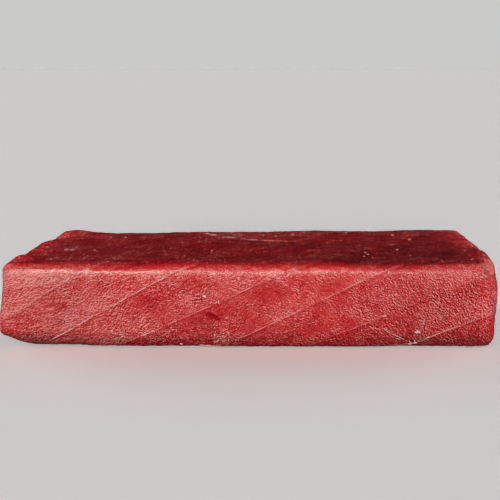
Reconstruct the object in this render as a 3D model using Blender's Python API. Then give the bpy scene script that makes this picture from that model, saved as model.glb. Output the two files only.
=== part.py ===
"""Raw tuna steak: one block of lean red loin, cut square and lying flat on its widest cut face.

X runs along the block, Y from its front face to its back face, Z up. The origin is on the
base, under the middle of the block. Sizes are in metres.
"""

import math

import bmesh
import bpy
from mathutils import Vector

# The block before its edges are softened
LENGTH = 0.1882
DEPTH = 0.0679
HEIGHT = 0.0330

# How far the knife strayed from square
HEIGHT_GAIN = 0.0014  # the right end is thicker than the left by this
LEFT_END_SLANT = 0.0105  # the back of the left end stops short by this
RIGHT_END_SLANT = -0.0006  # and the back of the right end stands out by this
FRONT_SKEW = 0.0040  # the right end of the front face stands forward by this
FRONT_DROP = (0.0004, 0.0013)  # the top is lower along the front by this at the left end and at the right

# Radii that soft flesh takes along its cut edges
TOP_EDGE = 0.0030
FRONT_ROUNDING = 0.0016  # added to the top edge along the front
UPRIGHT_EDGE = 0.0046
BASE_EDGE = 0.0019
BLUNT_CORNER = 0.0036  # added to the top edge at the front of the right end
BLUNT_FOOT = 0.0016  # added to the base edge along the right end

# The toe: the foot of the left end, which curls up off whatever the block lies on
TOE_LIFT = 0.0040
TOE_REACH = 0.0112

# Swelling of the faces as the flesh relaxes: how far the middle stands out, or in if negative
FRONT_SWELL = 0.0006
BACK_SWELL = 0.0009
RIGHT_END_SWELL = 0.0023
TOP_SAG = -0.0004
LEFT_FOOT = 0.0016  # how far the lower half of the left end spreads

# Waves that the strokes of the knife leave: (height of wave, wavelength, start)
END_WAVE = (0.00028, 0.0270, 0.0060)
TOP_WAVE = (0.00024, 0.0500, 0.0355)
TOP_CROSS_WAVE = (0.00012, 0.0330, 0.0050)
FRONT_WAVE = (0.00018, 0.0470, 0.0090)
BACK_HUMP = 0.0018  # a low hump on the top's back edge, near the left end
HUMP_INSET = 0.0100  # how far in from the end it is highest
HUMP_REACH = 0.0130

# Grid over the six faces: narrow cells in the bands that round off, wide cells between
EDGE_BAND = 0.0065
BAND_CELLS = 4
CELLS_ALONG = 34
CELLS_ACROSS = 13
CELLS_UP = 5

SIZE = Vector((LENGTH, DEPTH, HEIGHT))


def smooth(value):
    """0 below 0, 1 above 1 and an even S between."""
    value = min(1.0, max(0.0, value))
    return value * value * (3.0 - 2.0 * value)


def near(side, start):
    """How near a place is to a side: 0 until start of the way there from the middle, 1 at the side."""
    return smooth((side - start) / (1.0 - start))


def wave(shape, place):
    """Height at a place of one of the waves above."""
    height, length, start = shape
    return height * math.sin(math.tau * (place + start) / length)


def stations(size, middle_cells):
    """Places of the grid lines along one side of the block, from -size/2 to size/2."""
    inner = size / 2 - EDGE_BAND
    band = [EDGE_BAND * cell / BAND_CELLS for cell in range(BAND_CELLS)]
    middle = [-inner + 2 * inner * cell / middle_cells for cell in range(middle_cells + 1)]
    return [-size / 2 + step for step in band] + middle + [size / 2 - step for step in reversed(band)]


def edge_radius(place):
    """Radius of the edge nearest to a place, given as -1 to 1 along each side of the block."""
    x, y, z = place
    at_right_end = near(x, 0.87)
    if z > 0.0:
        level = TOP_EDGE + (FRONT_ROUNDING + BLUNT_CORNER * at_right_end) * near(-y, 0.5)
    else:
        level = BASE_EDGE + BLUNT_FOOT * at_right_end
    return UPRIGHT_EDGE + (level - UPRIGHT_EDGE) * smooth(abs(z))


def rounded(point):
    """Moves a point of the sharp block to the block with rounded edges."""
    radius = edge_radius([2 * c / side for c, side in zip(point, SIZE)])
    core = Vector()
    outward = Vector()
    for axis, (c, side) in enumerate(zip(point, SIZE)):
        inner = side / 2 - EDGE_BAND
        kept = min(inner, max(-inner, c))
        core[axis] = kept * (side / 2 - radius) / inner
        outward[axis] = c - kept
    return core + radius * outward.normalized()


def skewed(point):
    """Turns the square block into the cut one, whose ends and faces aren't quite parallel."""
    x, y, z = point
    to_left = 0.5 - x / LENGTH
    to_front = 0.5 - y / DEPTH
    to_back = 1.0 - to_front
    x += to_left * LEFT_END_SLANT * to_back - (1.0 - to_left) * RIGHT_END_SLANT * to_back
    y += to_front * FRONT_SKEW * (to_left - 0.5)
    z *= 1.0 + HEIGHT_GAIN / HEIGHT * (0.5 - to_left)
    return Vector((x, y, z))


def toe_share(x, y):
    """How far the base has lifted at a place near the left end: 0 where it lies flat, 1 at the tip."""
    from_flat = (TOE_REACH - LENGTH / 2 - x) / TOE_REACH
    return max(0.0, from_flat) ** 1.3 * (0.6 + 0.4 * smooth(0.5 - y / DEPTH))


def swollen(point, square):
    """Adds the swelling, the waves and the hump. square is the same point on the sharp block."""
    x, y, z = point
    along, across, up = (2 * c / side for c, side in zip(square, SIZE))
    bow_along = 1.0 - along * along
    bow_across = 1.0 - across * across
    bow_up = 1.0 - up * up
    at_left = near(-along, 0.75)
    at_right = near(along, 0.75)
    at_front = near(-across, 0.5)
    at_back = near(across, 0.5)
    at_top = near(up, 0.5)

    x += at_right * (RIGHT_END_SWELL * bow_across * (0.5 + 0.5 * bow_up) + wave(END_WAVE, y))
    x -= at_left * (LEFT_FOOT * smooth(0.5 - up) + wave(END_WAVE, -y))
    y -= at_front * (FRONT_SWELL * bow_up * bow_along + wave(FRONT_WAVE, x) * (0.4 + 0.6 * at_top))
    y += at_back * (BACK_SWELL * bow_up + wave(FRONT_WAVE, -x))
    z += at_top * (TOP_SAG * bow_along * bow_across + wave(TOP_WAVE, x) + wave(TOP_CROSS_WAVE, y + 0.3 * x))
    drop = FRONT_DROP[0] + (FRONT_DROP[1] - FRONT_DROP[0]) * (0.5 + 0.5 * along)
    z -= at_top * drop * (0.5 - 0.5 * across)
    z += TOE_LIFT * toe_share(x, square.y) * (0.5 - 0.5 * up)
    from_hump = math.hypot(square.x + LENGTH / 2 - HUMP_INSET, square.y - DEPTH / 2)
    z += at_top * BACK_HUMP * smooth(1.0 - from_hump / HUMP_REACH)
    return Vector((x, y, z))


def formed(square):
    """A point of the cut block, from its place on the sharp block centred on the origin."""
    softened = rounded(square)
    softened.z += HEIGHT / 2
    return swollen(skewed(softened), square)


def side_cells(counts, axis, far):
    """Grid cells of one face of the block, as index triples wound to face outwards."""
    first, second = (axis + 1) % 3, (axis + 2) % 3
    for i in range(counts[first]):
        for j in range(counts[second]):
            ring = []
            for step_i, step_j in ((0, 0), (1, 0), (1, 1), (0, 1)):
                index = [0, 0, 0]
                index[axis] = counts[axis] if far else 0
                index[first] = i + step_i
                index[second] = j + step_j
                ring.append(tuple(index))
            yield ring if far else ring[::-1]


def block_mesh(name):
    """The whole skin of the block as one closed mesh, standing on z = 0."""
    lines = [
        stations(LENGTH, CELLS_ALONG),
        stations(DEPTH, CELLS_ACROSS),
        stations(HEIGHT, CELLS_UP),
    ]
    counts = [len(line) - 1 for line in lines]
    grid = bmesh.new()
    corners = {}
    for axis in range(3):
        for far in (False, True):
            for ring in side_cells(counts, axis, far):
                for index in ring:
                    if index not in corners:
                        square = Vector([line[i] for line, i in zip(lines, index)])
                        corners[index] = grid.verts.new(formed(square))
                grid.faces.new([corners[index] for index in ring])
    centre_on_base(grid.verts)
    mesh = bpy.data.meshes.new(name)
    grid.to_mesh(mesh)
    grid.free()
    mesh.shade_smooth()
    return mesh


def centre_on_base(points):
    """Puts the middle of the block's bounding box over the origin."""
    middle_x = (min(p.co.x for p in points) + max(p.co.x for p in points)) / 2
    middle_y = (min(p.co.y for p in points) + max(p.co.y for p in points)) / 2
    for point in points:
        point.co -= Vector((middle_x, middle_y, 0.0))


def raw_flesh():
    """Deep red, moist raw tuna."""
    material = bpy.data.materials.new("raw_flesh")
    material.use_nodes = True
    shader = material.node_tree.nodes["Principled BSDF"]
    shader.inputs["Base Color"].default_value = (0.42, 0.055, 0.052, 1.0)
    shader.inputs["Roughness"].default_value = 0.42
    shader.inputs["Metallic"].default_value = 0.0
    shader.inputs["Subsurface Weight"].default_value = 0.25
    shader.inputs["Subsurface Radius"].default_value = (1.0, 0.22, 0.16)
    shader.inputs["Subsurface Scale"].default_value = 0.003
    return material


def clear_scene():
    for item in list(bpy.data.objects):
        bpy.data.objects.remove(item, do_unlink=True)


def build():
    clear_scene()
    mesh = block_mesh("tuna_block")
    mesh.materials.append(raw_flesh())
    block = bpy.data.objects.new("tuna_block", mesh)
    bpy.context.scene.collection.objects.link(block)


build()
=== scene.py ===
"""The looks of a raw tuna steak: moist red flesh with curly grain and the pale walls of its muscle layers.

Patterns are worked out in millimetres on the block: X along it, Y from front to back, Z up.
"""

import math

import bpy
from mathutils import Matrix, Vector


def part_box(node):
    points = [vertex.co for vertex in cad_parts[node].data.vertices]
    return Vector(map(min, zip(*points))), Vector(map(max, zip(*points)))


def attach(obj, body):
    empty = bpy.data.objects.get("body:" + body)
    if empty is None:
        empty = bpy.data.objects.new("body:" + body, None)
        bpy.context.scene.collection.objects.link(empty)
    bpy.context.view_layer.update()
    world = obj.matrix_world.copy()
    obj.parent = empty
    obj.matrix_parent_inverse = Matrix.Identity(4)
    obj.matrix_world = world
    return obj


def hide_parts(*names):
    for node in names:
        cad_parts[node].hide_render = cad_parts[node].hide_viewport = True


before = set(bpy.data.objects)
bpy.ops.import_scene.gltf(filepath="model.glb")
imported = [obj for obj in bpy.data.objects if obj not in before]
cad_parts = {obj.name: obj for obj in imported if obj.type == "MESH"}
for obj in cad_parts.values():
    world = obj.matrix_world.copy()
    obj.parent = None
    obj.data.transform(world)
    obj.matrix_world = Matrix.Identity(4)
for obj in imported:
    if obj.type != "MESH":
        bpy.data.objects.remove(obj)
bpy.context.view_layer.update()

MM = 0.001
ARROW = "FLOAT_VECTOR"  # the kind of a vector kept on a mesh
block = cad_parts["tuna_block"]
LOW, HIGH = (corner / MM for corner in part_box("tuna_block"))
MIDDLE_HEIGHT = HIGH.z / 2


# ---------------- formulas made of nodes


class Field:
    """A number, vector or colour that varies over a piece. Formulas of fields become nodes."""

    def __init__(self, socket):
        self.socket = socket
        self.tree = socket.id_data
        self.is_vector = socket.type in ("VECTOR", "RGBA")

    def do(self, operation, *values):
        """The result of a math node on this field and the values."""
        node = self.tree.nodes.new("ShaderNodeVectorMath" if self.is_vector else "ShaderNodeMath")
        node.operation = operation
        for socket, value in zip(node.inputs, (self, *values)):
            feed(socket, value)
        return Field(shown(node.outputs))

    def __add__(self, other):
        return self.do("ADD", other)

    __radd__ = __add__

    def __sub__(self, other):
        return self.do("SUBTRACT", other)

    def __rsub__(self, other):
        return (self * -1.0) + other

    def __mul__(self, other):
        if self.is_vector and not is_vector(other):
            return self.scaled(other)
        return self.do("MULTIPLY", other)

    def __truediv__(self, other):
        return self.do("DIVIDE", other)

    def scaled(self, factor):
        node = self.tree.nodes.new("ShaderNodeVectorMath")
        node.operation = "SCALE"
        feed(node.inputs[0], self)
        feed(node.inputs["Scale"], factor)
        return Field(node.outputs[0])

    def parts(self):
        """The X, Y and Z of a vector."""
        node = add_node(self.tree, "ShaderNodeSeparateXYZ", {"Vector": self})
        return [Field(output) for output in node.outputs]


def is_vector(value):
    return value.is_vector if isinstance(value, Field) else isinstance(value, (tuple, Vector))


def is_colour(value):
    if isinstance(value, Field):
        return value.socket.type == "RGBA"
    return is_vector(value) and len(value) == 4


def shown(sockets, name=None):
    """The first of a node's sockets in use, or the first of them with a name."""
    return next(socket for socket in sockets if socket.enabled and name in (None, socket.name))


def feed(socket, value):
    """Gives a socket a field or a plain value."""
    if isinstance(value, Field):
        socket.id_data.links.new(value.socket, socket)
    elif is_vector(value):
        socket.default_value = tuple(value)[: len(socket.default_value)]
    elif is_vector(Field(socket)):
        socket.default_value = (value,) * len(socket.default_value)
    else:
        socket.default_value = value


def add_node(tree, kind, values=None, **settings):
    """Adds a node with its settings made and its named inputs fed."""
    node = tree.nodes.new(kind)
    for name, setting in settings.items():
        setattr(node, name, setting)
    for name, value in (values or {}).items():
        feed(shown(node.inputs, name), value)
    return node


def result(tree, kind, values=None, **settings):
    """Adds a node and gives its first output."""
    return Field(shown(add_node(tree, kind, values, **settings).outputs))


def geo(tree, kind, values=None, **settings):
    """The same for a node of Geometry Nodes, by its short name."""
    return result(tree, "GeometryNode" + kind, values, **settings)


def ramp(value, start, end):
    """0 where value is at start, 1 where it is at end, with an even S between."""
    node = add_node(value.tree, "ShaderNodeMapRange", interpolation_type="SMOOTHSTEP")
    for socket, given in zip(node.inputs, (value, start, end, 0.0, 1.0)):
        feed(socket, given)
    return Field(node.outputs[0])


def bump_of(value, width):
    """1 where value is 0, falling to 0 at width to either side."""
    return ramp(value.do("ABSOLUTE"), width, 0.0)


def blend(share, first, second):
    """first where share is 0, second where it is 1. Numbers, vectors and colours all work."""
    kind = "FLOAT"
    if is_vector(first) or is_vector(second):
        kind = "RGBA" if is_colour(first) or is_colour(second) else "VECTOR"
    node = add_node(share.tree, "ShaderNodeMix", data_type=kind)
    used = [socket for socket in node.inputs if socket.enabled]
    for socket, value in zip(used, (share, first, second)):
        feed(socket, value)
    return Field(shown(node.outputs))


def vector_of(*numbers):
    tree = next(number.tree for number in numbers if isinstance(number, Field))
    node = tree.nodes.new("ShaderNodeCombineXYZ")
    for socket, number in zip(node.inputs, numbers):
        feed(socket, number)
    return Field(node.outputs[0])


SEED_STEP = (31.7, -17.3, 23.1)


def random_field(place, grain, seed, **values):
    """A noise texture whose lumps are about a grain apart. Each seed gives another one."""
    moved = place + tuple(seed * step for step in SEED_STEP)
    return add_node(place.tree, "ShaderNodeTexNoise", {"Vector": moved, "Scale": 1.0 / grain, **values})


def noise(place, grain, seed, detail=1.0, roughness=0.5):
    """Soft random field about 0, mostly within 0.3 of it."""
    node = random_field(place, grain, seed, Detail=detail, Roughness=roughness)
    return Field(node.outputs[0]) - 0.5


def noise_vector(place, grain, seed):
    """Three soft random fields at once, each about 0."""
    return Field(random_field(place, grain, seed, Detail=0.0).outputs["Color"]) - (0.5, 0.5, 0.5)


def drawn_out(place, way, times):
    """place squeezed along a way, so that a pattern on it is drawn out that many times that way."""
    along = place.do("DOT_PRODUCT", tuple(way))
    return place - vector_of(*(along * part for part in way)) * (1.0 - 1.0 / times)


def rising(start, end):
    """A span for the tables: 0 at start, 1 at end."""
    return lambda value: ramp(value, start, end)


def around(middle, reach):
    """A span for the tables: 1 at middle, falling to 0 at reach to either side."""
    return lambda value: bump_of(value - middle, reach)


def summed(rows, fields):
    """Adds up a table's rows. Each has the names of the fields it multiplies and its amount. Where it doesn't
    reach over the whole block, it also has a span along the block and a span up it."""
    total = 0.0
    for names, amount, *spans in rows:
        factors = [fields[name] for name in names.split()]
        factors += [span(fields[axis]) for axis, span in zip("xz", spans) if span]
        for factor in factors:
            amount = factor * amount
        total = amount + total
    return total


# ---------------- the pattern of the flesh

# The pale walls between the muscle layers, flat sheets that lean to the right and sweep back. Each has its
# place along the front at mid height, its lean, how plainly it shows and the heights between which it does.
WALLS = (
    (-158, 1.6, 0.5, 0, 32),
    (-121, 1.6, 0.6, 0, 32),
    (-87, 1.61, 0.78, 14, 32),
    (-53.4, 1.81, 1, 0, 32),
    (-15.4, 2.21, 0.52, 1, 32),
    (22.8, 2.04, 0.46, 2, 32),
    (61.3, 2.44, 0.48, 0, 13),
    (101.7, 2.69, 0.6, 0, 14),
)
WALL_SWEEP = 1.0
WALL_WANDER = 2.4

# Stretches of the block from left to right: where each starts, which way its fibres run, and how fine, curly
# and long they are
FIBRE_WAYS = (
    (-100, (0.91, 0.12, 0.38), 1, 1.1, 0.95),
    (-36, (0.99, 0.14, 0.02), 0.95, 1.9, 0.65),
    (9, (0.82, 0.12, -0.56), 0.9, 1.5, 0.85),
    (57, (0.6, 0.12, -0.8), 0.86, 1.3, 0.95),
)
STRETCH_CHANGE = 7.0  # half the width over which one stretch becomes the next
STRETCH_GRAIN = 14.0  # and the grain and size of the change's ragged outline
STRETCH_RAGGED = 55.0

# Lengths of fibre: how wide they are, how many times as long, their seed and their detail
STROKES = {
    "bundles": (3.6, 2.2, 20, 1),
    "fibres": (1.7, 1.8, 30, 1),
    "ridges": (0.6, 1.7, 40, 0.6),
    "curls": (0.85, 2.2, 45, 1),
    "coarse": (1.5, 2.6, 50, 1),
}
STROKE_ROUGHNESS = 0.6
BEND_GRAIN = 2.6  # grain and size of their bends, as multiples of their width
BEND_SIZE = 1.1

# Random patterns: grain, seed and detail, then a span where one is sharpened, and a way and how many times
# where it is drawn out
ALONG = (1.0, 0.06, 0.0)
FRONT_TO_BACK = (0.05, 1.0, 0.0)
PATTERNS = {
    "wander": (9, 3, 1),
    "swell": (13, 4, 1),
    "lumps": (6, 65, 1),
    "frill": (2, 68, 2),
    "wide_frill": (9, 69, 1),
    "thread_breaks": (4, 82, 2),
    "fine": (0.5, 46, 1),
    "pits": (0.7, 47, 1, rising(-0.14, -0.26)),
    "glints": (0.38, 70, 1, rising(0.13, 0.27)),
    "cloud": (10, 60, 2),
    "clumps": (4.4, 87, 1.5),
    "uneven": (7, 61, 1, rising(-0.14, 0.16)),
    "patch_edge": (4, 67, 1),
    "strands": (0.8, 73, 2, None, (1, 0.1, 0.06), 12),
    "mottle": (4.4, 65, 1.5, None, ALONG, 1.8),
    "bands": (2.6, 86, 1, None, ALONG, 3.5),
    "patches": (5, 66, 1.5, None, ALONG, 2.2),
    "nap": (0.9, 71, 2, None, FRONT_TO_BACK, 7),
    "dabs": (1.3, 88, 1, rising(0.04, 0.24), FRONT_TO_BACK, 2.4),
    "specks": (0.5, 74, 1, rising(0.1, 0.26), FRONT_TO_BACK, 9),
    "streak_sway": (5, 75, 1),
    "streak_breaks": (5, 76, 1, rising(-0.15, 0.12)),
    "dashes_sway": (4, 79, 1),
    "dashes_breaks": (3, 80, 1, rising(-0.12, 0.1)),
    "blood_up": (0.9, 77, 1),
    "blood_along": (1.1, 78, 1),
    "wall_waver": (2.2, 62, 1),
    "wall_breaks": (9, 63, 2, rising(-0.22, 0.08)),
    "gloss": (4, 64, 2),
    "sinew_tint": (1.2, 84, 2),
    "sinew_gloss": (2, 85, 1),
}


def pattern(place, name):
    """A random pattern by its name in the table."""
    grain, seed, detail, *rest = PATTERNS[name]
    cut, *drawn = rest or [None]
    field = noise(drawn_out(place, *drawn) if drawn else place, grain, seed, detail)
    return cut(field) if cut else field


def wander(place):
    """How far a wall strays from flat."""
    return pattern(place, "wander") * WALL_WANDER


def from_walls(place):
    """Distance to the right of each wall between muscle layers, below zero on its left."""
    x, y, z = place.parts()
    swept = x - (y - LOW.y) * WALL_SWEEP + wander(place)
    distances = []
    for start, lean, *_ in WALLS:
        along = swept - (z - MIDDLE_HEIGHT) * lean - start
        distances.append(along * (1.0 / math.hypot(1.0, lean)))
    return distances


def layer_depth(distances):
    """How far a place is through its muscle layer: 0 just right of one wall, 1 just left of the next."""
    depth = 0.0
    for left, right in zip(distances, distances[1:]):
        inside = left.do("GREATER_THAN", 0.0) * right.do("LESS_THAN", 0.0)
        depth = inside * (left / (left - right)) + depth
    return depth


def strokes(place, name):
    """Lengths of fibre by their name in the table, as a field about 0."""
    grain, times, seed, detail = STROKES[name]
    bend = noise_vector(place, grain * BEND_GRAIN, seed) * (grain * BEND_SIZE)
    drifted = place.parts()[0] + noise(place, STRETCH_GRAIN, seed + 1) * STRETCH_RAGGED
    total = None
    for start, way, fineness, curliness, length in FIBRE_WAYS:
        drawn = drawn_out(place + bend * curliness, Vector(way).normalized(), times * length)
        lengths = noise(drawn, grain * fineness, seed + 2, detail, STROKE_ROUGHNESS)
        share = ramp(drifted, start - STRETCH_CHANGE, start + STRETCH_CHANGE)
        total = lengths if total is None else blend(share, total, lengths)
    return total


# ---------------- geometry


def new_tree(name, sizes):
    """A tree of Geometry Nodes with named inputs, each a name, a kind and a value, and those as fields."""
    tree = bpy.data.node_groups.new(name, "GeometryNodeTree")
    tree.interface.new_socket("Geometry", in_out="OUTPUT", socket_type="NodeSocketGeometry")
    tree.interface.new_socket("Geometry", in_out="INPUT", socket_type="NodeSocketGeometry")
    for label, kind, _ in sizes:
        tree.interface.new_socket(label, in_out="INPUT", socket_type="NodeSocket" + kind)
    source = tree.nodes.new("NodeGroupInput")
    return tree, {socket.name: Field(socket) for socket in source.outputs if socket.name}


def grown(name, tree, sizes, start=None):
    """Runs a tree on a mesh to start from and keeps the result as a plain mesh."""
    seed = bpy.data.objects.new(name + "_seed", start or bpy.data.meshes.new(name + "_seed"))
    bpy.context.scene.collection.objects.link(seed)
    modifier = seed.modifiers.new("grow", "NODES")
    modifier.node_group = tree
    sockets = [item for item in tree.interface.items_tree if item.in_out == "INPUT"]
    for item, (_, _, value) in zip(sockets[1:], sizes):
        modifier[item.identifier] = value
    graph = bpy.context.evaluated_depsgraph_get()
    result_of = seed.evaluated_get(graph)
    mesh = bpy.data.meshes.new_from_object(result_of, preserve_all_data_layers=True, depsgraph=graph)
    mesh.name = name
    bpy.data.objects.remove(seed)
    piece = bpy.data.objects.new(name, mesh)
    bpy.context.scene.collection.objects.link(piece)
    return piece


def finish_tree(tree, geometry, material):
    """Ends a tree with real geometry, shaded smooth, in its material."""
    smooth = geo(tree, "SetShadeSmooth", {"Geometry": geometry})
    real = geo(tree, "RealizeInstances", {"Geometry": smooth})
    coat = geo(tree, "SetMaterial", {"Geometry": real, "Material": material})
    feed(tree.nodes.new("NodeGroupOutput").inputs[0], coat)


def mesh_of(tree, item):
    """The mesh of another object, which a tree has as an input."""
    info = add_node(tree, "GeometryNodeObjectInfo", {"Object": item}, transform_space="ORIGINAL")
    return Field(info.outputs["Geometry"])


def moved_to(tree, geometry, position):
    return geo(tree, "SetPosition", {"Geometry": geometry, "Position": position})


def kept(tree, geometry, name, kind, domain, value):
    """Keeps a field on the geometry under a name, and gives the geometry."""
    values = {"Geometry": geometry, "Name": name, "Value": value}
    return geo(tree, "StoreNamedAttribute", values, data_type=kind, domain=domain)


def recalled(tree, name, kind="FLOAT"):
    return geo(tree, "InputNamedAttribute", {"Name": name}, data_type=kind)


def plan_corners():
    """The block's corners from above: front left, front right, back left and back right."""
    points = [Vector(vertex.co) / MM for vertex in block.data.vertices]
    found = []
    for side_y in (-1, 1):
        for side_x in (-1, 1):
            point = max(points, key=lambda p: side_x * p.x + side_y * p.y)
            found.append(Vector((point.x + side_x, point.y + side_y, 0.0)))
    return found


FRONT_LEFT, FRONT_RIGHT, BACK_LEFT, BACK_RIGHT = plan_corners()
CELL = 0.69

# Bulges along the cut edges, and hollows where the height is below 0: a middle, a reach and a height
BULGES = (
    (92.5, -13, 32, 10, 0.9),
    (93.5, -31, 30.5, 7, -1.75),
    (95.5, -30, 20, 12, 0.6),
    (-85.5, 9, 31.5, 10, 0.8),
    (-90, -11, 31.5, 6, -0.25),
    (-90, -18, 31.5, 7, 0.9),
    (-92, -24.5, 31, 7, 0.4),
    (-82.5, 23, 32, 8, -0.95),
    (-81.5, 30, 32, 7, -0.45),
    (-11, -33.5, 0.5, 5, 0.6),
)

OFF_BASE = rising(-0.9, -0.35)  # by how far up the surface faces: the base itself stays flat

# The groove beside each wall and the ridge on it: distance from the wall and half width
WALL_GROOVE = around(0.9, 1)
WALL_RIDGE = around(0, 0.8)

# The foot's frill follows the lowest rim, by shares of the block's length, depth and height. In the middle
# stretch the front's foot also spreads.
RIM_LEFT, RIM_RIGHT = rising(0.03, 0), rising(0.97, 1)
RIM_FRONT, RIM_BACK = rising(0.08, 0), rising(0.92, 1)
RIM_LOW, SPREAD_LOW = rising(0.08, 0), rising(0.4, 0)
SPREAD_STARTS, SPREAD_ENDS = rising(-68, -58), rising(62, 40)
WIDE_FRILL = 0.7

# Charts of the bake map: which way the side faces, then left, bottom, width and height on the map
CHARTS = (
    ((0, -1, 0), (0.005, 0.005, 0.99, 0.172)),
    ((0, 1, 0), (0.005, 0.183, 0.99, 0.172)),
    ((0, 0, 1), (0.005, 0.361, 0.99, 0.365)),
    ((-1, 0, 0), (0.005, 0.732, 0.365, 0.172)),
    ((1, 0, 0), (0.376, 0.732, 0.365, 0.172)),
    ((0, 0, -1), (0.005, 0.91, 0.3, 0.085)),
)
SAME_WAY = rising(0.4, 0.6)


def flesh_skin(material):
    """The block's whole surface: a fine box laid onto the cut form, with the flesh's relief on it."""
    sizes = [
        ("Form", "Object", block),
        ("Cells along", "Int", round((HIGH.x - LOW.x) / CELL)),
        ("Cells across", "Int", round((HIGH.y - LOW.y) / CELL)),
        ("Cells up", "Int", round(HIGH.z / CELL)),
        ("Front left", "Vector", FRONT_LEFT),
        ("Front right", "Vector", FRONT_RIGHT),
        ("Back left", "Vector", BACK_LEFT),
        ("Back right", "Vector", BACK_RIGHT),
        ("Height", "Float", HIGH.z),
        ("Lowest corner", "Vector", LOW),
        ("Highest corner", "Vector", HIGH),
        ("Softening", "Int", 4),
        ("Rise", "Float", 0.1),
        ("Swell", "Float", 0.45),
        ("Lumps", "Float", 0.28),
        ("Bundles", "Float", 0.4),
        ("Fibres", "Float", 0.25),
        ("Wall groove", "Float", 0.12),
        ("Wall ridge", "Float", 0.06),
        ("Foot spread", "Float", 1.5),
        ("Foot frill", "Float", 1.9),
    ]
    tree, given = new_tree("flesh_skin", sizes)
    geometry = fine_box(tree, given)
    geometry = laid_on_form(tree, geometry, given)

    spot = geo(tree, "InputPosition")
    place = spot * (1.0 / MM)
    normal = geo(tree, "InputNormal")
    off_base = OFF_BASE(normal.parts()[2])
    relief = flesh_relief(place, given) + given["Rise"]
    raised = place + normal * (relief * off_base)
    raised = raised + foot(place, given, recalled(tree, "square", ARROW))
    kept_in = raised.do("MAXIMUM", given["Lowest corner"]).do("MINIMUM", given["Highest corner"])
    geometry = moved_to(tree, geometry, kept_in * MM)

    geometry = kept(tree, geometry, "OFBake", "FLOAT2", "CORNER", bake_chart(tree))
    finish_tree(tree, geometry, material)
    return grown("tuna_flesh", tree, sizes)


def fine_box(tree, given):
    """A box of fine cells on the block's plan. Each point keeps its share of the way along, across and up,
    and each face keeps the way it faces."""
    cube = add_node(tree, "GeometryNodeMeshCube", {
        "Size": (1.0, 1.0, 1.0), "Vertices X": given["Cells along"], "Vertices Y": given["Cells across"],
        "Vertices Z": given["Cells up"],
    })
    square = geo(tree, "InputPosition") + (0.5, 0.5, 0.5)
    facing = geo(tree, "InputNormal")
    geometry = kept(tree, Field(cube.outputs["Mesh"]), "square", ARROW, "POINT", square)
    geometry = kept(tree, geometry, "facing", ARROW, "FACE", facing)
    share_x, share_y, share_z = recalled(tree, "square", ARROW).parts()
    front = blend(share_x, given["Front left"], given["Front right"])
    back = blend(share_x, given["Back left"], given["Back right"])
    plan = blend(share_y, front, back) + vector_of(0.0, 0.0, share_z * given["Height"])
    return moved_to(tree, geometry, plan * MM)


def laid_on_form(tree, geometry, given):
    """Moves each point to the nearest place on the cut form, then evens the points out."""
    nearest = add_node(tree, "GeometryNodeProximity", target_element="FACES")
    feed(nearest.inputs[0], mesh_of(tree, given["Form"]))
    geometry = moved_to(tree, geometry, Field(nearest.outputs["Position"]))
    values = {"Value": geo(tree, "InputPosition"), "Iterations": given["Softening"]}
    even = geo(tree, "BlurAttribute", values, data_type=ARROW)
    return moved_to(tree, geometry, even)


def flesh_relief(place, given):
    """Height of the flesh over the cut form: swellings, fibres and the walls' lines."""
    height = pattern(place, "swell") * given["Swell"] + pattern(place, "lumps") * given["Lumps"]
    height = height + strokes(place, "bundles") * given["Bundles"]
    height = height + strokes(place, "fibres") * given["Fibres"]
    for *middle, reach, swelling in BULGES:
        height = height + ramp((place - tuple(middle)).do("LENGTH"), reach, 0.0) * swelling
    for wall in from_walls(place):
        height = height - WALL_GROOVE(wall) * given["Wall groove"] + WALL_RIDGE(wall) * given["Wall ridge"]
    return height


def foot(place, given, square):
    """How the soft foot spreads where the block lies, with a ragged frill along its rim."""
    x = place.parts()[0]
    share_x, share_y, share_z = square.parts()
    spread = SPREAD_STARTS(x) * SPREAD_ENDS(x) * SPREAD_LOW(share_z) * given["Foot spread"]
    frill = (pattern(place, "frill") + pattern(place, "wide_frill") * WIDE_FRILL) * given["Foot frill"]
    frill = frill * RIM_LOW(share_z)
    outward_x = frill * (RIM_RIGHT(share_x) - RIM_LEFT(share_x))
    outward_y = RIM_BACK(share_y) * frill - RIM_FRONT(share_y) * (spread + frill)
    return vector_of(outward_x, outward_y, 0.0)


def bake_chart(tree):
    """Place on the bake map: each side of the block has a rectangle of its own."""
    x, y, z = recalled(tree, "square", ARROW).parts()
    facing = recalled(tree, "facing", ARROW)
    total = None
    for side, (left, bottom, width, height) in CHARTS:
        across = y if side[0] else x
        up = y if side[2] else z
        here = SAME_WAY(facing.do("DOT_PRODUCT", side))
        spot = vector_of(across * width + left, up * height + bottom, 0.0) * here
        total = spot if total is None else total + spot
    return total


# ---------------- sinew

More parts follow.
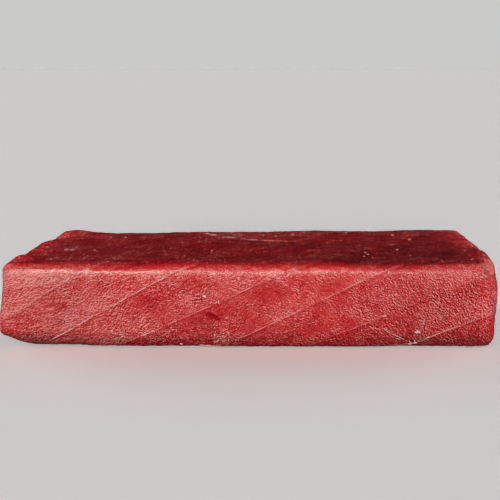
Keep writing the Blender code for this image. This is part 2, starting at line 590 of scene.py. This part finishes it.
# Threads of sinew: where each lies, its points, its half thickness and how white it is. On the front a
# point is its place along and its height, on the top its place along and from front to back.
SINEW_THREADS = (
    ("front", ((50.6, 8.3), (52.4, 6.4), (54, 5.4), (56.6, 4.4), (58.6, 3.2), (60.2, 2.7)), 0.16, 0.95),
    ("front", ((51.6, 7.9), (53.2, 6.6), (54.6, 5.9)), 0.14, 0.9),
    ("front", ((54.6, 4.6), (56.2, 3.7), (58, 3.1)), 0.12, 0.6),
    ("front", ((63.4, 2), (66.4, 3.2), (69, 4.3), (71.4, 4.9)), 0.13, 0.5),
    ("front", ((60.6, 1.7), (57, 0.9), (53, 0.6)), 0.2, 0.2),
    ("front", ((-11.9, 18.5), (-11.6, 16.9)), 0.24, 0.9),
    ("front", ((-13.6, 1.9), (-12.6, 2.6), (-11.6, 3.5)), 0.15, 0.5),
    ("front", ((81.2, 18.8), (82.4, 16), (83, 13.7), (84.6, 11.8)), 0.14, 0.6),
    ("front", ((64.2, 11.2), (65.8, 10.4), (66.4, 8.8)), 0.15, 0.6),
    ("front", ((22.6, 4.4), (24.4, 3.3), (25.2, 2.2)), 0.15, 0.7),
    ("front", ((-19.5, 1.2), (-16, 0.8), (-12, 0.6), (-7.5, 0.8)), 0.3, 0.1),
    ("top", ((14.2, -34), (18, -32.5), (21.5, -30.4)), 0.11, 0.1),
    ("top", ((84.4, -28), (86.3, -26.4), (86, -23.8)), 0.12, 0.1),
)

# A knot in the front near the right end, a thread on part of an oval: how many steps the whole oval has,
# and the part's first and last
KNOT_MIDDLE = (62.0, 2.5)
KNOT_HALF_SIZE = (1.05, 0.85)
KNOT_STEPS = 12
KNOT_FIRST, KNOT_LAST = -7, 2
KNOT_HALF, KNOT_WHITE = 0.26, 0.9

# Threads where the walls meet the front: half thickness and whiteness of the plainest, and how far they stay
# from the block's ends, base and top
WALL_THREAD = 0.16
WALL_THREAD_WHITE = 0.75
CLEAR_OF_ENDS = 9.0
CLEAR_OF_BASE, CLEAR_OF_TOP = 1, 2

# A thread thins at its ends and in its breaks, where the pattern of breaks is low, and sinks in there
THREAD_STARTS, THREAD_ENDS = rising(0, 0.12), rising(1, 0.88)
THREAD_TIP = 0.3
TENDON_BREAKS_FROM, WALL_BREAKS_FROM, BREAKS_TO = 0.12, 0.14, -0.13
TENDON_BREAKS, WALL_BREAKS = 0.585, 0.9
THREAD_LIFT = 0.4
WOBBLE_GRAIN, WOBBLE_SEED = 2.0, 81
SETTLING_STEPS = 3

# Flecks of fat: where each lies, its two places, its half size along and across, and how white it is
SINEW_FLECKS = (
    ("front", -17.1, 20, 0.42, 0.4, 0.9),
    ("front", -26.1, 1.4, 0.6, 0.38, 0.6),
    ("front", 64, 6.2, 1.15, 0.55, 0.5),
    ("front", 51, 12.6, 0.9, 0.3, 0.5),
    ("front", 61.2, 1.3, 0.8, 0.4, 0.8),
    ("front", 63.3, 1.9, 0.7, 0.36, 0.8),
    ("top", -74, -6.3, 0.9, 1.2, 0.05),
    ("top", -71.6, -6.7, 0.98, 1.2, 0.05),
    ("top", -62.7, -6, 0.44, 1.08, 0.05),
    ("top", -83.9, 11.5, 0.56, 0.96, 0.05),
    ("top", -53.7, 20.8, 0.62, 1.08, 0.05),
    ("top", -25.5, -18.7, 0.38, 0.72, 0.1),
    ("top", -18.4, 28, 0.81, 1.32, 0.2),
    ("top", 19.1, 23.4, 0.81, 1.32, 0.1),
    ("top", -15.2, -7.2, 0.44, 0.96, 0),
    ("top", 43.1, 28.4, 0.75, 1.2, 0.05),
    ("top", 62.6, 21.1, 0.62, 1.2, 0.05),
    ("top", 68.2, 10.9, 0.69, 1.08, 0.05),
    ("top", 59.8, -7.6, 0.69, 0.96, 0.05),
    ("top", 46.3, -12.3, 0.44, 0.9, -0.2),
    ("top", 45, -18.8, 0.42, 0.84, -0.25),
    ("top", 46.9, -15.2, 0.6, 0.6, -0.25),
)
FLECK_HALF_THICKNESS = {"front": 0.16, "top": 0.26}
DENT_GRAIN, DENT_SEED = 0.7, 83

ABOVE = 20.0  # how far outside the block its threads and flecks start before they are dropped onto it
DROP_REACH = 0.2  # in metres


def on_face(face, along, across):
    """A place well outside a face of the block, in metres, and the direction from there onto the face."""
    if face == "front":
        return {"place": Vector((along, LOW.y - ABOVE, across)) * MM, "inward": (0.0, 1.0, 0.0)}
    return {"place": Vector((along, across, HIGH.z + ABOVE)) * MM, "inward": (0.0, 0.0, -1.0)}


def start_mesh(name, chains, kinds):
    """A mesh of chains of points, each point with numbers and vectors kept under names."""
    mesh = bpy.data.meshes.new(name)
    points = [point for chain in chains for point in chain]
    edges = []
    first = 0
    for chain in chains:
        edges += [(first + step, first + step + 1) for step in range(len(chain) - 1)]
        first += len(chain)
    mesh.from_pydata([point["place"] for point in points], edges, [])
    for label, kind in kinds.items():
        layer = mesh.attributes.new(label, kind, "POINT")
        for slot, point in zip(layer.data, points):
            setattr(slot, "value" if kind == "FLOAT" else "vector", point[label])
    return mesh


def thread_chain(face, route, half, white, wall=0.0):
    """The points of one thread. wall is 1 for a thread that follows a wall."""
    numbers = {"half": half, "white": white, "wall": wall}
    return [{**on_face(face, *point), "start": point[0], **numbers} for point in route]


def wall_chains():
    """The threads along the walls, where those meet the front face."""
    for start, lean, strength, lowest, highest in WALLS:
        route = []
        for height in range(CLEAR_OF_BASE, round(HIGH.z) - CLEAR_OF_TOP):
            crossing = start + (height - MIDDLE_HEIGHT) * lean
            clear = LOW.x + CLEAR_OF_ENDS < crossing < HIGH.x - CLEAR_OF_ENDS
            if clear and lowest <= height <= highest:
                route.append((crossing, height))
        if len(route) > 1:
            half = WALL_THREAD * strength ** 0.5
            yield thread_chain("front", route, half, strength * WALL_THREAD_WHITE, wall=1.0)


def knot_route():
    middle_x, middle_z = KNOT_MIDDLE
    half_x, half_z = KNOT_HALF_SIZE
    turns = [math.tau * step / KNOT_STEPS for step in range(KNOT_FIRST, KNOT_LAST + 1)]
    return [(middle_x + half_x * math.cos(turn), middle_z + half_z * math.sin(turn)) for turn in turns]


def dropped_onto(tree, flesh, position, inward):
    """Where a ray from a position meets the flesh, in metres, and the flesh's normal there."""
    ray = add_node(tree, "GeometryNodeRaycast", {
        "Target Geometry": flesh, "Source Position": position, "Ray Direction": inward,
        "Ray Length": DROP_REACH,
    })
    return Field(ray.outputs["Hit Position"]), Field(ray.outputs["Hit Normal"])


def sinew_threads(skin, material):
    """Pale threads half sunk in the flesh: where its walls reach the front face, and stray tendons."""
    sizes = [
        ("Flesh", "Object", skin),
        ("Spacing", "Float", 0.45),
        ("Wobble", "Float", 0.6),
        ("Sides", "Int", 6),
        ("Cover", "Float", 0.07),
        ("Lowest corner", "Vector", LOW),
        ("Highest corner", "Vector", HIGH),
    ]
    tree, given = new_tree("sinew_threads", sizes)
    chains = [*wall_chains(), *(thread_chain(*row) for row in SINEW_THREADS)]
    chains.append(thread_chain("front", knot_route(), KNOT_HALF, KNOT_WHITE))
    kinds = {"inward": ARROW, "start": "FLOAT", "half": "FLOAT", "white": "FLOAT", "wall": "FLOAT"}
    start = start_mesh("sinew_threads", chains, kinds)

    curve = geo(tree, "MeshToCurve", {"Mesh": given["Geometry"]})
    smooth = geo(tree, "CurveSplineType", {"Curve": curve}, spline_type="CATMULL_ROM")
    values = {"Curve": smooth, "Length": given["Spacing"] * MM}
    geometry = geo(tree, "ResampleCurve", values, mode="LENGTH")

    wall = recalled(tree, "wall")
    place, normal = settled(tree, given, wall)
    share = Field(add_node(tree, "GeometryNodeSplineParameter").outputs["Factor"])
    taper = THREAD_STARTS(share) * THREAD_ENDS(share) * (1.0 - THREAD_TIP) + THREAD_TIP
    breaks_from = blend(wall, TENDON_BREAKS_FROM, WALL_BREAKS_FROM)
    breaks = ramp(pattern(place, "thread_breaks"), breaks_from, BREAKS_TO)
    thick = recalled(tree, "half") * taper * (1.0 - breaks * blend(wall, TENDON_BREAKS, WALL_BREAKS))
    raised = place + normal * (thick * THREAD_LIFT - given["Cover"])
    lowest = given["Lowest corner"] + vector_of(thick, thick, thick)
    highest = given["Highest corner"] - vector_of(thick, thick, thick)
    geometry = kept(tree, geometry, "thick", "FLOAT", "POINT", thick * MM)
    geometry = moved_to(tree, geometry, raised.do("MAXIMUM", lowest).do("MINIMUM", highest) * MM)

    ring = add_node(tree, "GeometryNodeCurvePrimitiveCircle", {"Radius": 1.0, "Resolution": given["Sides"]})
    tube = geo(tree, "CurveToMesh", {
        "Curve": geometry, "Profile Curve": Field(ring.outputs["Curve"]), "Scale": recalled(tree, "thick"),
        "Fill Caps": True,
    })
    finish_tree(tree, tube, material)
    return grown("sinew_threads", tree, sizes, start)


def settled(tree, given, wall):
    """Place on the flesh of each point of a thread, and the normal there. A thread on a wall is moved along
    the block until it lies where the wall comes out."""
    flesh = mesh_of(tree, given["Flesh"])
    inward = recalled(tree, "inward", ARROW)
    spot = geo(tree, "InputPosition")
    wobble = noise_vector(spot * (1.0 / MM), WOBBLE_GRAIN, WOBBLE_SEED) * given["Wobble"] * (1.0 - wall)
    source = spot + wobble * MM
    hit, normal = dropped_onto(tree, flesh, source, inward)
    for _ in range(SETTLING_STEPS):
        place = hit * (1.0 / MM)
        on_wall = recalled(tree, "start") + (place.parts()[1] - LOW.y) * WALL_SWEEP - wander(place)
        x, y, z = source.parts()
        hit, normal = dropped_onto(tree, flesh, vector_of(blend(wall, x, on_wall * MM), y, z), inward)
    return hit * (1.0 / MM), normal


def sinew_flecks(skin, material):
    """Small pale flecks of fat and sinew, half sunk in the front face and the top."""
    sizes = [
        ("Flesh", "Object", skin),
        ("Roundness", "Int", 3),
        ("Unevenness", "Float", 0.35),
    ]
    tree, given = new_tree("sinew_flecks", sizes)
    chains = []
    for face, along, across, half_along, half_across, white in SINEW_FLECKS:
        half = (half_along, half_across, FLECK_HALF_THICKNESS[face])
        chains.append([{**on_face(face, along, across), "half": half, "white": white}])
    kinds = {"inward": ARROW, "half": ARROW, "white": "FLOAT"}
    start = start_mesh("sinew_flecks", chains, kinds)

    spot = geo(tree, "InputPosition")
    inward = recalled(tree, "inward", ARROW)
    hit, normal = dropped_onto(tree, mesh_of(tree, given["Flesh"]), spot, inward)
    points = geo(tree, "MeshToPoints", {"Mesh": given["Geometry"]})
    geometry = kept(tree, points, "normal", ARROW, "POINT", normal)
    geometry = moved_to(tree, geometry, hit)

    bead = add_node(tree, "GeometryNodeMeshIcoSphere", {"Radius": 1.0, "Subdivisions": given["Roundness"]})
    values = {"Vector": recalled(tree, "normal", ARROW)}
    beads = add_node(tree, "GeometryNodeInstanceOnPoints", {
        "Points": geometry, "Instance": Field(bead.outputs["Mesh"]),
        "Rotation": result(tree, "FunctionNodeAlignRotationToVector", values, axis="Z"),
        "Scale": recalled(tree, "half", ARROW) * MM,
    })
    real = geo(tree, "RealizeInstances", {"Geometry": Field(beads.outputs[0])})
    dent = noise_vector(spot * (1.0 / MM), DENT_GRAIN, DENT_SEED) * given["Unevenness"]
    uneven = geo(tree, "SetPosition", {"Geometry": real, "Offset": dent * MM})
    finish_tree(tree, uneven, material)
    return grown("sinew_flecks", tree, sizes, start)


# ---------------- finish of the flesh

FLESH_TONES = (
    (0, (0.24, 0.001, 0.004)),
    (0.25, (0.39, 0.004, 0.01)),
    (0.5, (0.522, 0.029, 0.032)),
    (0.75, (0.642, 0.092, 0.086)),
    (1, (0.825, 0.302, 0.274)),
)
# Painted glow: deep red blended in where the front turns over into the top, for light bleeding through
EDGE_GLOW = (0.6, 0.01, 0.016, 1.0)
BLOOD = (0.31, 0.000, 0.008, 1.0)
WALL_WHITE = (0.83, 0.38, 0.36, 1.0)
WALL_SHADE = (0.38, 0.01, 0.015, 1.0)
FLESH_BODY = {
    "IOR": 1.37,
    "Subsurface Weight": 0.45,
    "Subsurface Radius": (1, 0.12, 0.09),
    "Subsurface Scale": 0.0026,
}

# Parts of the surface: the field that tells each apart and the span over which it fades in. upward and
# backward are how far the surface faces those ways, from_left and from_right the distances from the ends.
PARTS = {
    "lying": ("upward", rising(0.7, 0.95)),
    "catching_light": ("upward", rising(0.55, 0.85)),
    "above_front": ("upward", rising(0.34, 0.64)),
    "short_of_top": ("upward", rising(0.99, 0.93)),
    "forward": ("backward", rising(-0.15, -0.65)),
    "near_left": ("from_left", rising(17, 0)),
    "near_right": ("from_right", rising(15, 0)),
    "close_left": ("from_left", rising(6, 1)),
    "close_right": ("from_right", rising(5, 1)),
    "at_front": ("y", rising(LOW.y + 12, LOW.y + 8)),
    "off_front": ("y", rising(LOW.y + 3, LOW.y + 10)),
    "behind_edge": ("y", rising(LOW.y + 3, LOW.y + 9)),
    "front_third": ("y", rising(LOW.y + 40, LOW.y + 12)),
    "to_front": ("y", rising(HIGH.y - 20, LOW.y + 20)),
    "all_to_front": ("y", rising(HIGH.y - 4, LOW.y + 12)),
    "near_back": ("y", rising(HIGH.y - 24, HIGH.y - 6)),
    "back_strip": ("y", rising(HIGH.y - 20, HIGH.y - 8)),
    "by_hump": ("y", rising(HIGH.y - 26, HIGH.y - 8)),
}

# Patches of the front, some with tight pale curls and some smooth and deeper red: place along, height, reach
CURLED_PATCHES = (
    (-69, 10.5, 7.5), (-50, 3, 7), (-38.5, 7, 7.5), (-9.5, 4, 9), (14, 11, 6),
)
DEEP_PATCHES = (
    (-88, 10, 7), (-73, 16.5, 5), (-37, 18, 10), (8, 19, 8), (24, 9, 7),
    (31, 23, 7), (38, 9, 7), (64, 19, 7), (85, 4, 4.5),
)
PATCH_RAGGED = 6.0
PATCH_FLATNESS = 1.3
PATCH_HEART = 1.0

# Pale streaks on the top, on the curve y = start + slope * x + bend * x * x: those three, how far each
# sways, its half width, and where along the block it fades in and out
STREAKS = {
    "streak": (17, -0.46, 0.006, 3, 3.4, rising(-24, -16), rising(26, 16)),
    "dashes": (14.56, -0.377, 0, 1.5, 1.3, rising(30, 42), rising(62, 57)),
}

# The crisp grain is embossed: the fibres' pattern a step up from a place, less the same a step down. The
# step leans to the left in the block's left half and to the right in its right half.
EMBOSS_UP = 0.14
EMBOSS_LEFT, EMBOSS_RIGHT = -0.065, 0.09
EMBOSS_TURN = rising(-12, 32)
THIN_CURL = rising(0.055, 0)
LOW_GRAIN = rising(0.14, -0.14)
STRAND_BEND_GRAIN, STRAND_BEND_SEED, STRAND_BEND = 5.0, 72, 1.6
GLINT_SPECKS_AT_BACK = 0.3
CONTRAST_ON_TOP = 0.28

# The sums that the finish is made of
CRISP = (
    ("", -0.045),
    ("ridges", 0.66),
    ("fine", 0.34),
    ("thin_curls", 0.14),
    ("pits", -0.2),
)
CONTRAST = (
    ("", 0.9),
    ("uneven", 0.7),
    ("curled", 0.9),
    ("deep", -0.25),
    ("", 0.22, rising(-60, -68)),
    ("", 0.2, around(-40, 30)),
    ("", 0.7, rising(25, 55)),
    ("", 0.15, rising(58, 70)),
    ("", -0.3, rising(80, 90)),
    ("", 0.3, None, rising(7, 1)),
    ("", -0.72, rising(20, 42), rising(20, 27)),
    ("", -0.42, rising(36, 50), rising(14, 7)),
)
TONE = (
    ("", 0.49),
    ("grain", 1.62),
    ("grain", -0.12, rising(-60, -68)),
    ("glints", 0.26),
    ("coarse", 0.42),
    ("coarse", -0.28, rising(20, 55)),
    ("clumps upright", 0.34),
    ("clumps upright", -0.12, rising(-30, -50)),
    ("cloud", 0.3),
    ("cloud", -0.14, rising(-55, -70)),
    ("depth", 0.15),
    ("strands", 0.62, rising(-48, -75)),
    ("strands", 0.6, rising(76, 92)),
    ("curled upright", 0.07),
    ("deep upright", -0.12),
    ("", 0.08, rising(-35, -60)),
    ("", 0.03, rising(20, 80)),
    ("", 0.07, rising(-38, -60), around(14, 9)),
    # Painted shade: the lower front darker
    ("", -0.15, rising(-64, -36), rising(16, 5)),
    ("", -0.055, around(-2, 34), rising(16, 5)),
    ("upright", 0.03),
    # Painted highlight: the front paler towards its top edge, more at the left
    ("upright", 0.14, None, rising(24, 30)),
    ("upright", 0.07, rising(-45, -80), rising(20, 28)),
    ("upright", 0.03, rising(-45, -62)),
    ("upright", -0.03, rising(38, 50), around(18, 9)),
    ("upright", 0.04, rising(40, 60), rising(14, 7)),
    # Painted light and shade on the ends' fronts: the left paler high up and darker at the foot, the right
    # paler
    ("forward", 0.03, rising(-72, -88)),
    ("forward", 0.12, rising(-72, -88), rising(18, 26)),
    ("forward", -0.17, rising(-72, -88), rising(9, 2)),
    ("forward", 0.1, rising(84, 95)),
)
TOP_TONE = (
    ("", -0.25),
    ("mottle", 0.85),
    ("bands", 0.22),
    ("nap", 0.4),
    ("specks", 0.36),
    ("dabs", 0.3),
    ("streak", 0.52),
    ("dashes", 0.24),
    # Painted light: the top paler towards its back for sheen, and at its rims and back left corner for glow
    ("near_back", 0.08),
    ("near_back", 0.24, around(2, 55)),
    ("close_left", 0.25),
    ("close_right", 0.25),
    ("near_right", 0.08),
    ("by_hump", 0.1, around(-70, 16)),
)
# Where the front turns over into the top: it gets the painted glow and painted shade
TURNING_EDGE = (
    ("above_front short_of_top to_front", 1),
    ("above_front short_of_top to_front", -0.45, rising(83, 91)),
)
GLOW = (
    ("turning", 0.55),
    ("turning low_grain", 0.4),
)
# Brightness of the flesh: painted shade towards the foot and to the right, painted light up the front and at
# the right end's front
SHADE = (
    ("", 1),
    ("", -0.52, None, rising(8, 0)),
    ("upright", 0.04, None, rising(14, 27)),
    ("upright", 0.06, rising(-72, -88)),
    ("upright", -0.16, rising(-70, -85), rising(8, 2)),
    ("upright", -0.13, rising(-40, -70)),
    ("upright", 0.05, around(20, 40)),
    ("upright", -0.06, rising(20, 70)),
    ("upright", -0.05, rising(40, 60), rising(14, 7)),
    ("forward", 0.24, rising(84, 95)),
)
TOP_SHADE = (
    ("", 0.05),
    ("patches", 0.72),
    ("bands", 0.34),
    ("nap", 0.5),
    ("specks", 0.4),
    ("dabs", 0.25),
    ("streak", 0.5),
    # Painted shade: darker where the top turns over the front edge and towards its front, most to the right
    ("turning", -0.15),
    ("all_to_front", -0.02),
    ("all_to_front", -0.42, rising(-10, 70)),
    ("back_strip", -0.2, around(-42, 22)),
    ("back_strip", -0.1, rising(-30, 10)),
)
# Painted light: the rims at the top's ends and its back left corner brighter where they face up, for glow
LIT_ENDS = (
    ("near_left off_front", 1.16),
    ("near_right off_front", 0.44),
    ("near_right", 0.4),
    ("by_hump", 0.3, around(-70, 16)),
)
ROUGHNESS = (
    ("", 0.22),
    ("gloss", 0.2),
    ("", 0.09, rising(-50, 80)),
)
RELIEF = (
    ("grain", 1),
    ("coarse", 0.5),
)
RELIEF_HEIGHT = 0.00014

# Spots of blood in the front face: place along, height, reach along and up, slant, and how strong each is
BLOOD_SPOTS = (
    (-13.9, 12.1, 3.5, 1.4, 0.36, 1),
    (-18, 10, 6.5, 4, 0.3, 0.28),
    (61.2, 7.4, 2.2, 3.2, 0, 0.4),
    (61.9, 2.7, 0.85, 0.7, 0, 1),
    (-85.6, 30.1, 0.9, 0.5, 0, 0.7),
)
BLOOD_RAGGED_ALONG, BLOOD_RAGGED_UP = 0.7, 0.9
BLOOD_EDGE = rising(1, 0.65)

# The pale wavering line on each wall and the darker band to its right, deeper red flesh with painted shade of
# the
# groove there: distance from the wall, half width and strength, then half the height over which both fade
# where the wall stops showing
WALL_WAVER = 0.3
WALL_LINE, WALL_LINE_STRENGTH = around(0, 0.3), 0.5
WALL_SIDE, WALL_SIDE_STRENGTH = around(0.7, 0.55), 0.35
WALL_FADE = 3.0


def toned(value, tones):
    """Colour from a list of tones, each at a place between 0 and 1."""
    node = add_node(value.tree, "ShaderNodeValToRGB", {"Fac": value})
    stops = node.color_ramp.elements
    while len(stops) < len(tones):
        stops.new(1.0)
    for stop, (position, colour) in zip(stops, tones):
        stop.position = position
        stop.color = (*colour, 1.0)
    return Field(node.outputs["Color"])


def new_material(name, body):
    """A material, its shader with the settings of its body made, and places on the piece."""
    material = bpy.data.materials.new(name)
    material.use_nodes = True
    shader = material.node_tree.nodes["Principled BSDF"]
    for label, setting in body.items():
        shader.inputs[label].default_value = setting
    place = Field(add_node(material.node_tree, "ShaderNodeTexCoord").outputs["Object"]) * (1.0 / MM)
    return material, shader, place


def from_end(x, y, front_corner, back_corner):
    """How far to the right of an end a place is. The end slants from front to back."""
    slope = (back_corner.x - front_corner.x) / (back_corner.y - front_corner.y)
    return x - (y - front_corner.y) * slope - front_corner.x


def within(place, patches):
    """1 at the heart of each round patch, falling to 0 at its ragged edge."""
    x, _, z = place.parts()
    ragged = pattern(place, "patch_edge") * PATCH_RAGGED
    total = 0.0
    for patch_x, patch_z, reach in patches:
        away = vector_of(x - patch_x, 0.0, (z - patch_z) * PATCH_FLATNESS).do("LENGTH") + ragged
        total = ramp(away, reach, PATCH_HEART) + total
    return total


def surface_parts(place):
    """Fields for where a place is, which way the surface faces there and which parts it is in."""
    x, y, z = place.parts()
    normal = Field(add_node(place.tree, "ShaderNodeNewGeometry").outputs["Normal"])
    _, backward, upward = normal.parts()
    fields = {
        "x": x, "y": y, "z": z, "backward": backward, "upward": upward,
        "from_left": from_end(x, y, FRONT_LEFT, BACK_LEFT),
        "from_right": from_end(x, y, FRONT_RIGHT, BACK_RIGHT) * -1.0,
    }
    for name, (told_by, span) in PARTS.items():
        fields[name] = span(fields[told_by])
    fields["upright"] = 1.0 - fields["lying"]
    return fields


def top_streak(place, name):
    """A broken pale streak on the top."""
    start, slope, bend, sway, half_width, fades_in, fades_out = STREAKS[name]
    x, y, _ = place.parts()
    off_curve = y - x * x * bend - x * slope - start + pattern(place, name + "_sway") * sway
    return bump_of(off_curve, half_width) * fades_in(x) * fades_out(x) * pattern(place, name + "_breaks")


def add_patterns(fields, place, walls):
    """Adds the flesh's patterns to the fields."""
    for name in "fine pits cloud clumps uneven mottle bands patches nap dabs gloss".split():
        fields[name] = pattern(place, name)
    for name in STREAKS:
        fields[name] = top_streak(place, name)
    fields["curled"] = within(place, CURLED_PATCHES)
    fields["deep"] = within(place, DEEP_PATCHES)
    fields["depth"] = layer_depth(walls)
    # Painted glints: small bright specks on the top, most towards its front
    fields["specks"] = pattern(place, "specks") * blend(fields["front_third"], GLINT_SPECKS_AT_BACK, 1.0)
    strand_bend = noise_vector(place, STRAND_BEND_GRAIN, STRAND_BEND_SEED) * STRAND_BEND
    fields["strands"] = pattern(place + strand_bend, "strands")

    step = vector_of(blend(EMBOSS_TURN(fields["x"]), EMBOSS_LEFT, EMBOSS_RIGHT), 0.0, EMBOSS_UP)
    fields["ridges"] = strokes(place + step, "ridges") - strokes(place - step, "ridges")
    fields["coarse"] = strokes(place, "coarse")
    fields["thin_curls"] = THIN_CURL(strokes(place, "curls").do("ABSOLUTE"))
    contrast = summed(CONTRAST, fields)
    crisp = summed(CRISP, fields)
    fields["grain"] = crisp * blend(fields["lying"], contrast, CONTRAST_ON_TOP)
    fields["low_grain"] = LOW_GRAIN(crisp)
    # Painted glints: small pale sparkles on the upright faces, strongest where the grain is
    fields["glints"] = pattern(place, "glints") * contrast * fields["upright"]
    fields["turning"] = summed(TURNING_EDGE, fields)


def bloodied(colour, place, fields):
    """Adds the small spots of blood in the front face."""
    ragged_along = pattern(place, "blood_along") * BLOOD_RAGGED_ALONG
    ragged_up = pattern(place, "blood_up") * BLOOD_RAGGED_UP
    on_front = fields["upright"] * fields["at_front"]
    for spot_x, spot_z, reach_x, reach_z, slant, strength in BLOOD_SPOTS:
        along = fields["x"] - spot_x
        up = fields["z"] - spot_z + along * slant
        away = vector_of(along * (1.0 / reach_x) + ragged_along, up * (1.0 / reach_z) + ragged_up, 0.0)
        colour = blend(BLOOD_EDGE(away.do("LENGTH")) * on_front * strength, colour, BLOOD)
    return colour


def walled(colour, place, fields, walls):
    """Adds the pale line on each wall and the darker band beside it: deeper red flesh with painted shade of
    the groove.
    """
    waver = pattern(place, "wall_waver") * WALL_WAVER
    showing = pattern(place, "wall_breaks") * (1.0 - fields["lying"] * fields["behind_edge"])
    for wall, (_, _, strength, lowest, highest) in zip(walls, WALLS):
        above = ramp(fields["z"], lowest - WALL_FADE, lowest + WALL_FADE)
        below = ramp(fields["z"], highest + WALL_FADE, highest - WALL_FADE)
        here = showing * strength * above * below
        colour = blend(WALL_LINE(wall + waver) * here * WALL_LINE_STRENGTH, colour, WALL_WHITE)
        colour = blend(WALL_SIDE(wall) * here * WALL_SIDE_STRENGTH, colour, WALL_SHADE)
    return colour


def raw_flesh():
    """Deep red flesh with a moist surface, pale curly fibres and pale walls between its layers."""
    material, shader, place = new_material("raw_flesh", FLESH_BODY)
    walls = from_walls(place)
    fields = surface_parts(place)
    add_patterns(fields, place, walls)

    tone = summed(TONE, fields) + fields["lying"] * summed(TOP_TONE, fields)
    # Painted glow along the front's top edge
    colour = blend(summed(GLOW, fields), toned(tone, FLESH_TONES), EDGE_GLOW)
    colour = bloodied(colour, place, fields)
    colour = walled(colour, place, fields, walls)
    # Brightness with painted light and shade from the tables above
    shade = summed(SHADE, fields) * (fields["lying"] * summed(TOP_SHADE, fields) + 1.0)
    shade = shade * (fields["catching_light"] * summed(LIT_ENDS, fields) + 1.0)
    feed(shader.inputs["Base Color"], colour * shade)
    feed(shader.inputs["Roughness"], summed(ROUGHNESS, fields))
    relief = {"Height": summed(RELIEF, fields), "Distance": RELIEF_HEIGHT}
    feed(shader.inputs["Normal"], result(place.tree, "ShaderNodeBump", relief))
    return material


# ---------------- finish of the sinew

SINEW_PINK = (0.7, 0.19, 0.145, 1.0)
SINEW_PALE = (0.93, 0.67, 0.62, 1.0)
SINEW_BODY = {
    "IOR": 1.4,
    "Subsurface Weight": 0.3,
    "Subsurface Radius": (1, 0.35, 0.28),
    "Subsurface Scale": 0.0006,
}
SINEW_TINT = 0.8
SINEW_ROUGHNESS, SINEW_UNEVEN_GLOSS = 0.42, 0.2


def sinew():
    """Pink white sinew, moist and a little see-through."""
    material, shader, place = new_material("sinew", SINEW_BODY)
    white = Field(add_node(place.tree, "ShaderNodeAttribute", attribute_name="white").outputs["Fac"])
    colour = blend(white + pattern(place, "sinew_tint") * SINEW_TINT, SINEW_PINK, SINEW_PALE)
    feed(shader.inputs["Base Color"], colour)
    feed(shader.inputs["Roughness"], pattern(place, "sinew_gloss") * SINEW_UNEVEN_GLOSS + SINEW_ROUGHNESS)
    return material


# ---------------- studio

# The floor and the backdrop look paler to the camera than they light the block
CARD_LIGHTING = (0.22, 0.217, 0.214, 1.0)
CARD_SEEN = (1.45, 1.43, 1.41, 1.0)
BACKDROP = (0.593, 0.591, 0.58, 1.0)
SURROUNDINGS = (0.02, 0.02, 0.021, 1.0)
FLOOR_SIZE = 60.0

WHITE = (1.0, 1.0, 1.0)
WARM = (1.0, 0.86, 0.71)

# Lamps: degrees round from the front towards the right, degrees up, strength, degrees across. A sheen
# lights only the gloss of a surface, and the others only its colour.
LAMPS = {
    "key": (-8, 15.5, 2.95, 20),
    "sheen": (-16, 37, 5.4, 30),
    "right_sheen": (110, 48, 0.5, 40),
    "left_sheen": (-110, 48, 0.6, 40),
    "right_fill": (118, 8, 1.2, 50),
    "left_fill": (-122, 8, 1.3, 50),
}

# Camera: lens and sensor in millimetres, place and nearest distance in metres, turn in radians
LENS, SENSOR = 64.8, 36.0
CAMERA_PLACE = (-0.00185, -0.3641, 0.1058)
NEAREST_SEEN = 0.01
CAMERA_TURN = (math.radians(90.0 - 11.616), 0.0, -0.006)


def pale_floor():
    """White card that looks paler than it lights the block from below."""
    material = bpy.data.materials.new("pale_floor")
    material.use_nodes = True
    tree = material.node_tree
    tree.nodes.remove(tree.nodes["Principled BSDF"])
    colour = blend(seen_directly(tree), CARD_LIGHTING, CARD_SEEN)
    card = result(tree, "ShaderNodeBsdfDiffuse", {"Color": colour})
    feed(tree.nodes["Material Output"].inputs["Surface"], card)
    return material


def seen_directly(tree):
    """1 where the camera sees the floor or backdrop itself, 0 where they light the block."""
    return Field(add_node(tree, "ShaderNodeLightPath").outputs["Is Camera Ray"])


def add_lamp(name, azimuth, elevation, strength, spread):
    glossy = name.endswith("sheen")
    lamp = bpy.data.lights.new(name, "SUN")
    lamp.energy = strength
    lamp.color = WARM if glossy else WHITE
    lamp.angle = math.radians(spread)
    turn = math.radians(azimuth)
    rise = math.radians(elevation)
    stand = bpy.data.objects.new(name, lamp)
    level = math.cos(rise)
    stand.location = (math.sin(turn) * level, -math.cos(turn) * level, math.sin(rise))
    stand.rotation_euler = stand.location.to_track_quat("Z", "Y").to_euler()
    stand.visible_diffuse = not glossy
    stand.visible_glossy = glossy
    bpy.context.scene.collection.objects.link(stand)


def add_camera():
    lens = bpy.data.cameras.new("camera")
    lens.lens = LENS
    lens.sensor_width = SENSOR
    lens.clip_start = NEAREST_SEEN
    camera = bpy.data.objects.new("camera", lens)
    camera.location = CAMERA_PLACE
    camera.rotation_euler = CAMERA_TURN
    bpy.context.scene.collection.objects.link(camera)
    bpy.context.scene.camera = camera


def studio():
    scene = bpy.context.scene
    scene.view_settings.view_transform = "Standard"
    bpy.ops.mesh.primitive_plane_add(size=FLOOR_SIZE)
    floor = bpy.context.object
    floor.name = "floor"
    floor.data.materials.append(pale_floor())

    world = bpy.data.worlds.new("studio")
    scene.world = world
    world.use_nodes = True
    tree = world.node_tree
    feed(tree.nodes["Background"].inputs["Color"], blend(seen_directly(tree), SURROUNDINGS, BACKDROP))
    for name, settings in LAMPS.items():
        add_lamp(name, *settings)
    add_camera()


def main():
    studio()
    skin = flesh_skin(raw_flesh())
    pale = sinew()
    threads = sinew_threads(skin, pale)
    flecks = sinew_flecks(skin, pale)
    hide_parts("tuna_block")
    for piece in (skin, threads, flecks):
        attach(piece, "root")


main()
